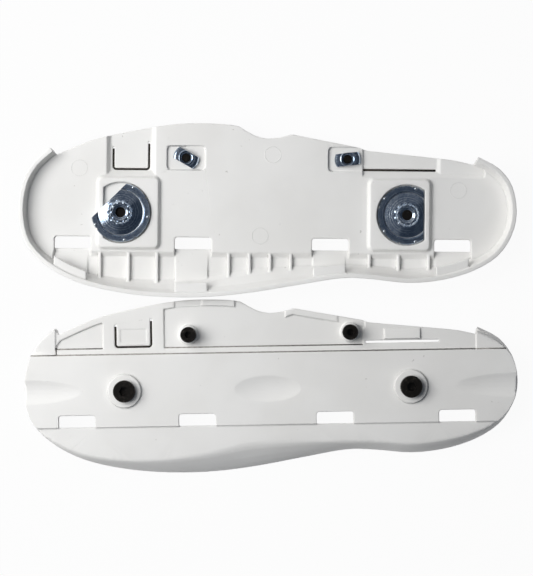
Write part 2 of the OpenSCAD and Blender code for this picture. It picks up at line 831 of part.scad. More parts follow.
// The two plates on the table, with the origin below the middle of the pair
function turned(p, a) = [p.x * cos(a) - p.y * sin(a), p.x * sin(a) + p.y * cos(a)];
outline = concat(inset(rim, 0, 0), inset(inner_edge, 0, 0));
on_table = concat(
    [for (p = outline) turned(p, left_turn)],
    [for (p = outline) turned(p, right_turn) + [pair_shift, -pair_pitch]]
);
all_x = [for (p = on_table) p.x];
all_y = [for (p = on_table) p.y];
middle = [(min(all_x) + max(all_x)) / 2, (min(all_y) + max(all_y)) / 2];
module on_left() {
    translate([-middle.x, -middle.y, stand_h])
        rotate([0, 0, left_turn])
            children();
}
module on_right() {
    translate([pair_shift - middle.x, -pair_pitch - middle.y, rim_h])
        rotate([0, 0, right_turn])
            mirror([0, 0, 1])
                children();
}

on_left() plate();  // left_plate
on_left() tongue();  // left_tongue
on_left() loose_nut(front_x);  // left_front_frame_nut
on_left() seated_nut(rear_x, 180);  // left_rear_frame_nut
on_left() frame_bolt(front_x);  // left_front_frame_bolt
on_left() frame_bolt(rear_x);  // left_rear_frame_bolt
on_left() placed_side_nut(side_front_x, front_side_turn);  // left_front_side_nut
on_left() placed_side_nut(side_rear_x, rear_side_turn);  // left_rear_side_nut
on_left() side_bolt(side_front_x);  // left_front_side_bolt
on_left() side_bolt(side_rear_x);  // left_rear_side_bolt
on_right() plate();  // right_plate
on_right() tongue();  // right_tongue
on_right() seated_nut(front_x, 0);  // right_front_frame_nut
on_right() seated_nut(rear_x, 180);  // right_rear_frame_nut
on_right() frame_bolt(front_x);  // right_front_frame_bolt
on_right() frame_bolt(rear_x);  // right_rear_frame_bolt
on_right() placed_side_nut(side_front_x, 0);  // right_front_side_nut
on_right() placed_side_nut(side_rear_x, 0);  // right_rear_side_nut
on_right() side_bolt(side_front_x);  // right_front_side_bolt
on_right() side_bolt(side_rear_x);  // right_rear_side_bolt
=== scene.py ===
# %% [markdown]
# # A pair of soul plates
# A soul plate is the moulded nylon tray between the boot and the frame of an aggressive inline skate.
# Here the left plate lies boot side up and the right one sole up, with their nuts and bolts in place.
# The CAD model gives every size. This script gives the finish: soft moulded edges, worn nylon,
# zinc plate with its turning marks, and black oxide.

# %% Load the frame
import json
import math

import bmesh
import bpy
import numpy as np
from mathutils import Matrix, Vector


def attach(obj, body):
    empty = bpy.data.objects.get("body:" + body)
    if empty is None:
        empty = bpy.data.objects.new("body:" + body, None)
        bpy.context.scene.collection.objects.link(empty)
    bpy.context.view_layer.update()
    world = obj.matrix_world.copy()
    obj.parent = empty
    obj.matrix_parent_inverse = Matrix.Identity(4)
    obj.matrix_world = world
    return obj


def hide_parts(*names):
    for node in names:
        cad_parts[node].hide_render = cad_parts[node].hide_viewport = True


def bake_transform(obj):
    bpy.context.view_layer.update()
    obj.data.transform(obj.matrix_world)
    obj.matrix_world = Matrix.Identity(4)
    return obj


MM = 0.001
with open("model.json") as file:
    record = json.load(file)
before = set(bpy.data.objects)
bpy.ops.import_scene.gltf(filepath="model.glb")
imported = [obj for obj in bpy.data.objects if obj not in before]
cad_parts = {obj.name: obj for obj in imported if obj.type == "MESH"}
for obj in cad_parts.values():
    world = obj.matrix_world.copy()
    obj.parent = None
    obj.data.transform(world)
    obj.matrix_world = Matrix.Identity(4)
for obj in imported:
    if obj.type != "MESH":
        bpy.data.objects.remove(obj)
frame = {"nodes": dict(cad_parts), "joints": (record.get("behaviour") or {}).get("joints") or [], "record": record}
nodes = frame["nodes"]
scene = bpy.context.scene
scene.view_settings.view_transform = "Standard"
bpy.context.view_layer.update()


def in_mm(point):
    return tuple(round(c / MM, 1) for c in point)


# %% [markdown]
# ## The axes of each plate
# The two plates are mirror images, and each lies a little askew on the table. Their own axes could be
# typed in again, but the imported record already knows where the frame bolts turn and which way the
# sole faces, so the axes are worked out from there: X to the heel, Y to the inner side of the foot,
# Z from the sole to the boot.

# %% Find the axes of each plate
SIDES = ("left", "right")
ENDS = ("front", "rear")
joint_at = {j["name"]: Vector(j["pos_m"]) for j in frame["joints"] if "pos_m" in j}
sole_normal = {m["name"]: Vector(m["axis"]) for m in frame["record"]["mounts"]}


def plate_axes(side):
    front, rear = (joint_at[f"{side}_{end}_frame_bolt_turn"] for end in ENDS)
    heelward = (rear - front).normalized()
    medial = Vector((-heelward.y, heelward.x, 0))
    bootward = -sole_normal[f"{side}_frame_seat"]
    rows = zip(heelward, medial, bootward, (front + rear) / 2)
    return Matrix([*rows, (0, 0, 0, 1)])


axes = {side: plate_axes(side) for side in SIDES}
into_left = axes["left"].inverted()
for side in SIDES:
    print(side, "origin in mm", in_mm(axes[side].translation))

# %% [markdown]
# ## The camera
# The view is straight down with the toe to the left, from far enough away that the sides hardly lean.
# An orthographic camera would come close, but a long lens keeps the slight lean of the outer walls.

# %% Place the camera
IMAGE_HEIGHT_PX = 576
MM_PER_PX = 0.585
VIEW_CENTRE = Vector((-1.7, 6.3, 10)) * MM
CAMERA_HEIGHT = 1.3
VIEW_DEPTH = 10

lens = bpy.data.cameras.new("camera")
camera = bpy.data.objects.new("camera", lens)
scene.collection.objects.link(camera)
camera.location = VIEW_CENTRE + Vector((0, 0, CAMERA_HEIGHT))
lens.sensor_fit = "VERTICAL"
lens.angle_y = 2 * math.atan(IMAGE_HEIGHT_PX * MM_PER_PX * MM / 2 / CAMERA_HEIGHT)
lens.clip_end = VIEW_DEPTH
scene.camera = camera
print("vertical angle of view", round(math.degrees(lens.angle_y), 2), "degrees")

# %% [markdown]
# ## Wires for shader maths
# A finish is a formula over the surface: so much roughness plus so much noise. Node by node that is
# hard to read, so a small class wraps a socket and lets Python's own operators add the Math nodes.
# One method makes every other kind of node. A Mix node keeps sockets for all its kinds of data
# under the same names, so those for colours are picked by number.

# %% Define the wires
MIX_FACTOR, MIX_FIRST, MIX_SECOND, MIX_RESULT = 0, 6, 7, 2


class Wire:
    """An output socket in a node tree. Arithmetic on it adds Math nodes."""

    def __init__(self, tree, socket=None):
        self.tree = tree
        self.socket = socket

    def node(self, kind, settings=None, sockets=None, out=0):
        """A node of any kind: its settings first, then the values or wires of its sockets."""
        made = self.tree.nodes.new("ShaderNode" + kind)
        for name, value in (settings or {}).items():
            setattr(made, name, value)
        for name, value in (sockets or {}).items():
            self.feed(made.inputs[name], value)
        return Wire(self.tree, made.outputs[out])

    def feed(self, target, value):
        if isinstance(value, Wire):
            self.tree.links.new(value.socket, target)
        else:
            target.default_value = value

    def math(self, operation, first, second=0):
        return self.node("Math", {"operation": operation}, {0: first, 1: second})

    def __add__(self, other):
        return self.math("ADD", self, other)

    def __sub__(self, other):
        return self.math("SUBTRACT", self, other)

    def __rsub__(self, other):
        return self.math("SUBTRACT", other, self)

    def __mul__(self, other):
        return self.math("MULTIPLY", self, other)

    __radd__ = __add__
    __rmul__ = __mul__

    def noise(self, per_metre, detail):
        """Noise read at this place."""
        sockets = {"Vector": self, "Scale": per_metre, "Detail": detail}
        return self.node("TexNoise", None, sockets)

    def ramp(self, low, high):
        """0 below low, 1 above high, and smooth between them."""
        limits = {"Value": self, "From Min": low, "From Max": high}
        return self.node("MapRange", {"interpolation_type": "SMOOTHSTEP"}, limits)

    def mix(self, first, second):
        """The colour first where this is 0, second where it is 1."""
        sockets = {MIX_FACTOR: self, MIX_FIRST: first, MIX_SECOND: second}
        return self.node("Mix", {"data_type": "RGBA"}, sockets, out=MIX_RESULT)

    def bump(self, strength, distance):
        """A normal that follows this height."""
        sockets = {"Strength": strength, "Distance": distance, "Height": self}
        return self.node("Bump", None, sockets)

    def colours(self, stops):
        """A ramp of colours: each stop is a place from 0 to 1 and the colour there."""
        ramp = self.node("ValToRGB", None, {"Fac": self})
        elements = ramp.socket.node.color_ramp.elements
        while len(elements) < len(stops):
            elements.new(1)
        for element, (place, colour) in zip(elements, stops):
            element.position = place
            element.color = colour
        return ramp


def new_finish(name):
    """A material, a wire to start from, and its main shader."""
    material = bpy.data.materials.new(name)
    material.use_nodes = True
    tree = material.node_tree
    return material, Wire(tree), tree.nodes["Principled BSDF"]


print("wires ready")

# %% [markdown]
# ## Moulded nylon
# The plates are off-white glass-filled nylon: satin, very slightly mottled, with a fine eroded skin from
# the mould and a few dark scuffs. Flat colour would look like paper. Noises at several scales do it:
# clouds of 40 mm for the tint, specks of a millimetre or two in a few dirty patches, and a grain for the
# skin. An ambient occlusion node darkens the colour in the corners and along the steps: painted shade.
# Round the side bolts none of this shade is painted.

# %% Mix the nylon finish
NYLON_LIGHT = (0.845, 0.837, 0.815, 1)
NYLON_SHADE = (0.805, 0.795, 0.77, 1)
NYLON_SCUFF = (0.36, 0.34, 0.31, 1)
# The corner colour is painted shade, laid on where an ambient occlusion node finds a tight corner.
NYLON_CORNER_SHADE = (0.12, 0.115, 0.105, 1)
NYLON_IOR = 1.53
CLOUDS_PER_M, CLOUD_EDGES = 25, (0.35, 0.7)
SPECKS_PER_M, SPECK_EDGES = 520, (0.745, 0.79)
SMUDGES_PER_M, SMUDGE_EDGES = 70, (0.52, 0.62)
SPECK_STRENGTH = 0.5
GRAINS_PER_M = 3800
SKIN_DEPTH = 0.02 * MM
CORNER_REACH = 1.1 * MM
CORNER_FULL = 0.5
UNSHADED_WITHIN, SHADED_BEYOND = 15.5 * MM, 17.5 * MM
UNSHADED_PLACES = [joint_at[f"{side}_{end}_side_bolt_turn"] for side in SIDES for end in ENDS]


def painted_corner_shade(place):
    """How much shade is painted: 1 in a tight corner, 0 in the open and round the side bolts."""
    hollow = {"only_local": True, "samples": 8}
    open_air = place.node("AmbientOcclusion", hollow, {"Distance": CORNER_REACH}, out="AO")
    shaded = 1 - open_air
    for spot in UNSHADED_PLACES:
        pair = {0: place, 1: tuple(spot)}
        away = place.node("VectorMath", {"operation": "DISTANCE"}, pair, out="Value")
        shaded = shaded * away.ramp(UNSHADED_WITHIN, SHADED_BEYOND)
    return shaded.ramp(0, CORNER_FULL)


def nylon_finish(name):
    material, wire, shader = new_finish(name)
    place = wire.node("TexCoord", out="Object")
    cloud = place.noise(CLOUDS_PER_M, 3).ramp(*CLOUD_EDGES)
    smudge = place.noise(SMUDGES_PER_M, 2).ramp(*SMUDGE_EDGES)
    speck = place.noise(SPECKS_PER_M, 1).ramp(*SPECK_EDGES) * smudge
    grain = place.noise(GRAINS_PER_M, 2)
    # Painted shade: the tint darkens towards the corner colour in tight corners.
    tint = painted_corner_shade(place).mix(cloud.mix(NYLON_LIGHT, NYLON_SHADE), NYLON_CORNER_SHADE)
    wire.feed(shader.inputs["Base Color"], (speck * SPECK_STRENGTH).mix(tint, NYLON_SCUFF))
    wire.feed(shader.inputs["Roughness"], grain * 0.16 + cloud * 0.06 + 0.36)
    wire.feed(shader.inputs["Normal"], grain.bump(0.12, SKIN_DEPTH))
    shader.inputs["IOR"].default_value = NYLON_IOR
    return material


nylon = nylon_finish("moulded_nylon")
print("made", nylon.name)

# %% [markdown]
# ## Zinc plate
# The nuts are turned steel with bright zinc plating, bluish from its passivation. The lathe leaves fine
# rings round the axis. A picture of rings would need unwrapping, so the rings come from the distance
# to the axis instead: a noise in one dimension, read at that distance. The same distance gives the low
# turned steps that catch the light as thin arcs: the eased or sunk mouth of the bore, the place where the
# dished face of a frame nut meets its rim, and the rolled ends of a side nut. With the angle round the
# axis it gives the dents where a threaded bush is staked into its disc. A fine spangle of the plating
# lies over all of it.

# %% Mix the zinc finish
ZINC_BLUE = (0.3, 0.4, 0.55, 1)
ZINC_PALE = (0.78, 0.85, 0.93, 1)
ZINC_BRIGHT = (0.92, 0.95, 0.98, 1)
RINGS_PER_M, RING_DEPTH = 1500, 0.0105 * MM
PATCHES_PER_M = 260
SPANGLES_PER_M = 1100
SHINE_EDGES = (0.38, 0.64)
EASED_BORE = {"start": 2.9 * MM, "end": 4.7 * MM, "rise": -0.7 * MM}
SUNK_BORE = {"start": 3.0 * MM, "end": 4.6 * MM, "rise": 0.5 * MM}
RIM_STEP = {"start": 12.9 * MM, "end": 13.8 * MM, "rise": 0.4 * MM}
ROLLED_END = {"start": 5.2 * MM, "end": 9.4 * MM, "rise": -0.8 * MM}
STAKES = 11
STAKE_DEPTH = 0.3 * MM
STAKE_RING, STAKE_REACH = 6.3 * MM, 1.5 * MM


def stake_dents(apart, radius, count):
    """A wave round the axis, which fades on either side of the ring of stakes."""
    east, north = (apart.node("SeparateXYZ", None, {0: apart}, out=way) for way in "XY")
    angle = apart.math("ARCTAN2", north, east)
    inner = radius.ramp(STAKE_RING - STAKE_REACH, STAKE_RING)
    outer = radius.ramp(STAKE_RING, STAKE_RING + STAKE_REACH)
    return apart.math("COSINE", angle * count) * inner * (1 - outer)


def zinc_finish(name, axis_point, steps, stakes=0, dark=ZINC_BLUE, pale=ZINC_PALE):
    """Zinc plate turned round an axis, with its low steps and a number of stake dents."""
    material, wire, shader = new_finish(name)
    place = wire.node("TexCoord", out="Object")
    apart = wire.node("VectorMath", {"operation": "SUBTRACT"}, {0: place, 1: tuple(axis_point)})
    across = wire.node("VectorMath", {"operation": "MULTIPLY"}, {0: apart, 1: (1, 1, 0)})
    radius = wire.node("VectorMath", {"operation": "LENGTH"}, {0: across}, out="Value")
    along = {"W": radius, "Scale": RINGS_PER_M, "Detail": 2}
    turned = wire.node("TexNoise", {"noise_dimensions": "1D"}, along)
    patch = place.noise(PATCHES_PER_M, 3)
    shine = turned * 0.35 + patch * 0.25 + place.noise(SPANGLES_PER_M, 1) * 0.4
    rim = radius.ramp(RIM_STEP["start"], RIM_STEP["end"])
    # Painted highlight: the rim step catches the light by its bump, and its middle is also painted the bright zinc
    # colour and made a little rougher.
    painted_rim_highlight = rim * (1 - rim) * 4
    plate = shine.ramp(*SHINE_EDGES).mix(dark, pale)
    wire.feed(shader.inputs["Base Color"], painted_rim_highlight.mix(plate, ZINC_BRIGHT))
    wire.feed(shader.inputs["Roughness"], turned * 0.18 + patch * 0.1 + painted_rim_highlight * 0.2 + 0.03)
    height = turned * RING_DEPTH
    for step in steps:
        height = height + radius.ramp(step["start"], step["end"]) * step["rise"]
    if stakes:
        height = height + stake_dents(apart, radius, stakes) * STAKE_DEPTH
    wire.feed(shader.inputs["Normal"], height.bump(1, 1))
    shader.inputs["Metallic"].default_value = 1
    return material


print("zinc finish ready, with", STAKES, "stakes round a bush")

# %% [markdown]
# ## Black oxide
# The bolts are hardened steel with a thin black oxide skin, oily and a little brown. It is nearly as
# dark as paint but keeps a dull metal gloss, and it wears to grey in small patches.

# %% Mix the black oxide finish
OXIDE_BLACK = (0.008, 0.0065, 0.005, 1)
OXIDE_WORN = (0.045, 0.038, 0.032, 1)
OXIDE_METALLIC = 0.4
WEAR_PER_M, WEAR_EDGES = 700, (0.55, 0.75)


def oxide_finish(name):
    material, wire, shader = new_finish(name)
    wear = wire.node("TexCoord", out="Object").noise(WEAR_PER_M, 4)
    wire.feed(shader.inputs["Base Color"], wear.ramp(*WEAR_EDGES).mix(OXIDE_BLACK, OXIDE_WORN))
    wire.feed(shader.inputs["Roughness"], wear * 0.3 + 0.3)
    wire.feed(shader.inputs["Normal"], wear.bump(0.2, SKIN_DEPTH))
    shader.inputs["Metallic"].default_value = OXIDE_METALLIC
    return material


oxide = oxide_finish("black_oxide")
print("made", oxide.name)

# %% [markdown]
# ## The plates as mouldings
# The CAD plate has true sizes but knife-sharp edges and flat facets along its sloping wall. A real
# moulding has soft edges everywhere. Bevels need clean edge loops, which this mesh lacks, so the plate
# is rebuilt from small voxels, relaxed until its edges are round, and thinned again where it is flat.
# The right plate is the left one mirrored, so one moulding serves both.

# %% Helpers for rebuilding a solid
VOXEL = 0.36 * MM
WELD = 0.001 * MM
SMOOTHING = 0.5
EDGE_ROUNDS = 3


def new_piece(name, mesh):
    piece = bpy.data.objects.new(name, mesh)
    scene.collection.objects.link(piece)
    return piece


def with_modifier(mesh, kind, settings, only=None):
    """The mesh after one modifier, which may act on some of its vertices only."""
    holder = new_piece("holder", mesh)
    modifier = holder.modifiers.new(kind.lower(), kind)
    for name, value in settings.items():
        setattr(modifier, name, value)
    if only is not None:
        holder.vertex_groups.new(name="only").add(only.tolist(), 1, "REPLACE")
        modifier.vertex_group = "only"
    depsgraph = bpy.context.evaluated_depsgraph_get()
    made = bpy.data.meshes.new_from_object(holder.evaluated_get(depsgraph))
    bpy.data.objects.remove(holder)
    return made


def relaxed(mesh, rounds, only=None):
    return with_modifier(mesh, "SMOOTH", {"factor": SMOOTHING, "iterations": rounds}, only)


def moulded(mesh, voxel):
    fine = with_modifier(mesh, "REMESH", {"mode": "VOXEL", "voxel_size": voxel})
    return relaxed(fine, EDGE_ROUNDS)


def own_mesh(node):
    """A welded copy of the mesh of one of the left plate's CAD nodes, in the plate's own axes."""
    mesh = nodes[node].data.copy()
    mesh.materials.clear()
    mesh.transform(into_left)
    shape = bmesh.new()
    shape.from_mesh(mesh)
    bmesh.ops.remove_doubles(shape, verts=shape.verts, dist=WELD)
    shape.to_mesh(mesh)
    shape.free()
    return mesh


def points_of(mesh):
    values = np.empty(len(mesh.vertices) * 3)
    mesh.vertices.foreach_get("co", values)
    return values.reshape(-1, 3)


def lay(name, local_mesh, side, finish):
    """A piece from a mesh in the plate's axes, laid with the left or the right plate."""
    mesh = local_mesh.copy()
    mesh.transform(axes[side])
    if axes[side].determinant() < 0:
        mesh.flip_normals()
    mesh.materials.append(finish)
    mesh.shade_smooth()
    return new_piece(name, mesh)


print("voxel", round(VOXEL / MM, 2), "mm")

# %% [markdown]
# The sloping outer wall is one free curve on the real plate, but the CAD wall is made of flat strips.
# Relaxing the whole plate would melt its ribs, so only the points on the outside of the wall are relaxed
# for long. A point belongs to it if no other point at its place and height lies further out.

# %% Rebuild the plate
PLATE_TRIANGLES = 110000
WALL_FOOT, WALL_TOP = 0.9 * MM, 13.6 * MM
WALL_DEPTH = 0.9 * MM
WALL_ROUNDS = 120
CELL = 1 * MM
SIDE_BEYOND = 15 * MM
ENDS_BEYOND, ENDS_HALF_WIDTH = 120 * MM, 25 * MM


def outermost(across, height, outward):
    """Where outward is the greatest, or nearly, among the points of a cell of across and height."""
    columns = ((across - across.min()) / CELL).astype(int)
    rows = ((height - height.min()) / CELL).astype(int)
    furthest = np.full((columns.max() + 1, rows.max() + 1), -np.inf)
    np.maximum.at(furthest, (columns, rows), outward)
    return outward > furthest[columns, rows] - WALL_DEPTH


def outer_wall(mesh):
    x, y, z = points_of(mesh).T
    at_ends = abs(y) < ENDS_HALF_WIDTH
    side = outermost(x, z, -y) & (y < -SIDE_BEYOND)
    toe = outermost(y, z, -x) & at_ends & (x < -ENDS_BEYOND)
    heel = outermost(y, z, x) & at_ends & (x > ENDS_BEYOND)
    return np.flatnonzero((side | toe | heel) & (z > WALL_FOOT) & (z < WALL_TOP))


plate_mesh = moulded(own_mesh("left_plate"), VOXEL)
wall = outer_wall(plate_mesh)
print("plate voxels", len(plate_mesh.polygons), "of which on the wall", len(wall))
plate_mesh = relaxed(plate_mesh, WALL_ROUNDS, only=wall)
share = min(1, PLATE_TRIANGLES / (2 * len(plate_mesh.polygons)))
plate_mesh = with_modifier(plate_mesh, "DECIMATE", {"ratio": share})

# %% [markdown]
# Rounding also fills the corners of the two side pockets, and there the nuts turn with less than half a
# millimetre to spare. Finer voxels everywhere would be slow, so the points beside the true walls and
# floor of these pockets are drawn back onto them.

# %% Clear the side pockets and lay the plates
FLOOR_LEVEL = 6 * MM
POCKET_FLOOR = 4.5 * MM
POCKET_REACH = 11.2 * MM
POCKET_HALF_WIDTH = 7.1 * MM
POCKET_MARGIN = 1.5 * VOXEL


def clear_pocket(mesh, centre):
    points = points_of(mesh)
    x, y, z = points.T - np.array([[centre.x], [centre.y], [POCKET_FLOOR]])
    inside = (abs(x) < POCKET_REACH) & (abs(y) < POCKET_HALF_WIDTH)
    inside = inside & (z > 0) & (z < FLOOR_LEVEL - POCKET_FLOOR)
    at_wall = inside & (abs(y) > POCKET_HALF_WIDTH - POCKET_MARGIN)
    at_floor = inside & (z < POCKET_MARGIN)
    points[at_wall, 1] = centre.y + np.sign(y[at_wall]) * POCKET_HALF_WIDTH
    points[at_floor, 2] = POCKET_FLOOR
    mesh.vertices.foreach_set("co", points.ravel())
    print("points drawn back", np.count_nonzero(at_wall | at_floor))


for end in ENDS:
    clear_pocket(plate_mesh, into_left @ joint_at[f"left_{end}_side_bolt_turn"])
for side in SIDES:
    plate = lay(f"{side}_moulding", plate_mesh, side, nylon)
    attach(plate, f"{side}_plate")
    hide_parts(f"{side}_plate")
    print(plate.name, len(plate.data.polygons), "faces")

# %% [markdown]
# ## The latch tongues
# Each tongue is cut free on three sides and bends at its root, where it is one with the plate. A rigid
# tongue would open a crack there, so its mesh runs a little way into the plate.

# %% Make the tongues
ROOT_ZONE = 2.5 * MM
ROOT_LENGTH = 1.3 * MM
TONGUE_VOXEL = 0.3 * MM

tongue_cad = own_mesh("left_tongue")
tongue_low, tongue_high = points_of(tongue_cad).min(axis=0), points_of(tongue_cad).max(axis=0)
hinge = into_left @ joint_at["left_tongue_flex"]
for vertex in tongue_cad.vertices:
    if vertex.co.y > hinge.y - ROOT_ZONE:
        vertex.co.y += ROOT_LENGTH
tongue_mesh = moulded(tongue_cad, TONGUE_VOXEL)
for side in SIDES:
    piece = lay(f"{side}_latch", tongue_mesh, side, nylon)
    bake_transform(piece)
    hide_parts(f"{side}_tongue")
    print(piece.name, len(piece.data.polygons), "faces")

# %% [markdown]
# ## Painted shade in the narrow slots
# The slot round each tongue and the slit by the left heel look almost black, because little light gets
# down between their close walls. Darkening the walls alone would not show from above, so a thin dark
# film that paints this shade lies halfway down each slot. It stays with the plate. A film is a small section
# moved along a route, and so are the fillets of painted shade at the steps and the rings further on, so one helper
# skins them all.

# %% Helpers for films of painted shade
MOTTLE_PER_M, MOTTLE_EDGES = 900, (0.3, 0.7)
FILM = 0.2 * MM
FILM_GAP = 0.03 * MM


# A dark, faintly mottled finish that paints shade: in the slots and at the feet of the steps.
def painted_shade_finish(name, dark, pale):
    material, wire, shader = new_finish(name)
    mottle = wire.node("TexCoord", out="Object").noise(MOTTLE_PER_M, 3)
    wire.feed(shader.inputs["Base Color"], mottle.ramp(*MOTTLE_EDGES).mix(dark, pale))
    wire.feed(shader.inputs["Roughness"], mottle * 0.2 + 0.75)
    return material


def skin(shape, rows, ring=False):
    """Faces from each row of vertices to the next. A ring runs round, and otherwise both ends are shut."""
    following = rows[1:] + rows[:1] if ring else rows[1:]
    for first, second in zip(rows, following):
        for k in range(len(first)):
            shape.faces.new((first[k], first[k - 1], second[k - 1], second[k]))
    if not ring:
        shape.faces.new(rows[0])
        shape.faces.new(rows[-1][::-1])


def as_mesh(shape, name):
    bmesh.ops.recalc_face_normals(shape, faces=shape.faces)
    mesh = bpy.data.meshes.new(name)
    shape.to_mesh(mesh)
    shape.free()
    return mesh


def film(route, width, height):
    """A flat dark ribbon of painted shade along a route in the plate's axes."""
    shape = bmesh.new()
    rows = []
    for index, point in enumerate(route):
        before, after = route[max(index - 1, 0)], route[min(index + 1, len(route) - 1)]
        along = (after - before).normalized()
        across = Vector((-along.y, along.x, 0)) * (width / 2 - FILM_GAP)
        low, high = (Vector((0, 0, height + lift)) for lift in (-FILM / 2, FILM / 2))
        section = (across + high, high - across, low - across, across + low)
        rows.append([shape.verts.new(point + step) for step in section])
    skin(shape, rows)
    return as_mesh(shape, "film")


print("a film of dirt is", round(FILM / MM, 2), "mm thick")

# %% Lay the painted shade in the slots
SLOT_SHADE_DARK = (0.012, 0.01, 0.008, 1)
SLOT_SHADE_PALE = (0.05, 0.042, 0.034, 1)
SLOT_WIDTH = 1.2 * MM
SLOT_TURN = 1.6 * MM
SLOT_TURN_STEPS = [math.radians(a) for a in range(0, 91, 15)]
TOE_ARM_END, HEEL_ARM_END = 4 * MM, 1 * MM
SLIT_START, SLIT_END = 57.5 * MM, 100.3 * MM
SLIT_LINE, SLIT_WIDTH = 26.35 * MM, 1.3 * MM


def slot_route():
    """The middle of the slot round the tongue, from root to root by way of the tip."""
    low_x, high_x = tongue_low[0] - SLOT_WIDTH / 2, tongue_high[0] + SLOT_WIDTH / 2
    low_y, root_y = tongue_low[1] - SLOT_WIDTH / 2, tongue_high[1]
    turns = [(SLOT_TURN * math.cos(a), SLOT_TURN * math.sin(a)) for a in SLOT_TURN_STEPS]
    toe_x, heel_x, turn_y = low_x + SLOT_TURN, high_x - SLOT_TURN, low_y + SLOT_TURN
    places = [(low_x, root_y - TOE_ARM_END)]
    places += [(toe_x - cosine, turn_y - sine) for cosine, sine in turns]
    places += [(heel_x + sine, turn_y - cosine) for cosine, sine in turns]
    places += [(high_x, root_y - HEEL_ARM_END)]
    return [Vector((x, y, 0)) for x, y in places]


# The films paint the shade inside the slots.
painted_shade = painted_shade_finish("slot_dirt", SLOT_SHADE_DARK, SLOT_SHADE_PALE)
slot_height = (tongue_low[2] + tongue_high[2]) / 2
slot_film = film(slot_route(), SLOT_WIDTH, slot_height)
slit_route = [Vector((x, SLIT_LINE, 0)) for x in (SLIT_START, SLIT_END)]
films = [(f"{side}_slot_dirt", slot_film, side) for side in SIDES]
films.append(("left_slit_dirt", film(slit_route, SLIT_WIDTH, slot_height), "left"))
for name, mesh, side in films:
    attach(lay(name, mesh, side, painted_shade), f"{side}_plate")
    print("laid", name)

# %% [markdown]
# ## Painted shade along the steps
# Beside the band, on the inner side of the sole, two low steps run along the plate, with a grey line of
# shade at their feet. Shading finds it too faintly, because the rounded corner is so small, so a thin dark
# fillet lies in each of these corners and paints the shade there. They are found in the CAD plate: an
# inward edge near the band, between a face that looks away from the boot and an upright one.

# %% Lay the painted shade along the steps
STEP_SHADE_DARK = (0.2, 0.19, 0.17, 1)
STEP_SHADE_PALE = (0.4, 0.385, 0.36, 1)
STEP_SHADE_SIZE = 0.75 * MM
STEP_SHADE_SINK = 0.15 * MM
STEPS_FROM, STEPS_TO = 20 * MM, 26 * MM
LEVEL_NORMAL, UPRIGHT_NORMAL = -0.99, 0.1


def shaded_step_corners(mesh):
    """The ends of each corner, and the normals of its face and of its upright side."""
    shape = bmesh.new()
    shape.from_mesh(mesh)
    found = []
    for edge in shape.edges:
        if len(edge.link_faces) != 2 or edge.is_convex:
            continue
        normals = (face.normal.copy() for face in edge.link_faces)
        flat, upright = sorted(normals, key=lambda normal: normal.z)
        ends = [vertex.co.copy() for vertex in edge.verts]
        beside_band = all(STEPS_FROM < end.y < STEPS_TO for end in ends)
        if beside_band and flat.z < LEVEL_NORMAL and abs(upright.z) < UPRIGHT_NORMAL:
            found.append((ends, flat, upright))
    shape.free()
    return found


def shade_fillets(corners):
    shape = bmesh.new()
    for ends, flat, upright in corners:
        section = (-STEP_SHADE_SINK * (flat + upright), flat * STEP_SHADE_SIZE, upright * STEP_SHADE_SIZE)
        skin(shape, [[shape.verts.new(end + step) for step in section] for end in ends])
    return as_mesh(shape, "step_shade")


# Dark fillets that paint the shade at the feet of the steps.
step_shade = painted_shade_finish("step_painted_shade", STEP_SHADE_DARK, STEP_SHADE_PALE)
shaded = shaded_step_corners(own_mesh("left_plate"))
step_shade_mesh = shade_fillets(shaded)
for side in SIDES:
    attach(lay(f"{side}_step_painted_shade", step_shade_mesh, side, step_shade), f"{side}_plate")
print("dusty corners on each plate", len(shaded))

# %% [markdown]
# ## Ejector pin marks
# Where pins pushed the moulding out of its mould, faint circles stay on the tray floor. They are too
# shallow for the voxels, so each is a thin ring that stands a fifth of a millimetre proud.

# %% Mark the ejector pins
PIN_RADIUS = 4.7 * MM
PIN_HEIGHT = 0.2 * MM
PIN_WIDTH = 0.9 * MM
PIN_PLACES = [(-108, 25.9), (4.9, 34.6), (-2.2, -12.9), (113.4, 14.8)]
PIN_SIDES = 48


def pin_marks():
    shape = bmesh.new()
    section = [(-PIN_WIDTH / 2, -PIN_HEIGHT), (0, PIN_HEIGHT), (PIN_WIDTH / 2, -PIN_HEIGHT)]
    for x, y in PIN_PLACES:
        centre = Vector((x * MM, y * MM, FLOOR_LEVEL))
        rows = []
        for k in range(PIN_SIDES):
            turn = Matrix.Rotation(2 * math.pi * k / PIN_SIDES, 3, "Z")
            spots = [centre + turn @ Vector((PIN_RADIUS + r, 0, z)) for r, z in section]
            rows.append([shape.verts.new(spot) for spot in spots])
        skin(shape, rows, ring=True)
    return as_mesh(shape, "pin_marks")


marks = pin_marks()
for side in SIDES:
    piece = lay(f"{side}_pin_marks", marks, side, nylon)
    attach(piece, f"{side}_plate")
print("pin marks on each plate", len(PIN_PLACES))

# %% [markdown]
# ## The hardware
# Nuts and bolts are simple turned shapes, and the CAD solids are already exact, with their bevels and
# sockets. They stay as they are and only get their finish. Each nut has a zinc finish of its own,
# because its rings run round its own axis.

# %% Dress the hardware
NUT_FORMS = {"frame": ([EASED_BORE, RIM_STEP], STAKES), "side": ([SUNK_BORE, ROLLED_END], 0)}


def dress(node, finish):
    nodes[node].data.materials.clear()
    nodes[node].data.materials.append(finish)


fasteners = [f"{side}_{end}_{kind}" for side in SIDES for end in ENDS for kind in NUT_FORMS]
for name in fasteners:
    forms = NUT_FORMS[name.split("_")[-1]]
    dress(f"{name}_nut", zinc_finish(f"{name}_zinc", joint_at[f"{name}_bolt_turn"], *forms))
    dress(f"{name}_bolt", oxide)
print("dressed nuts and bolts", 2 * len(fasteners))

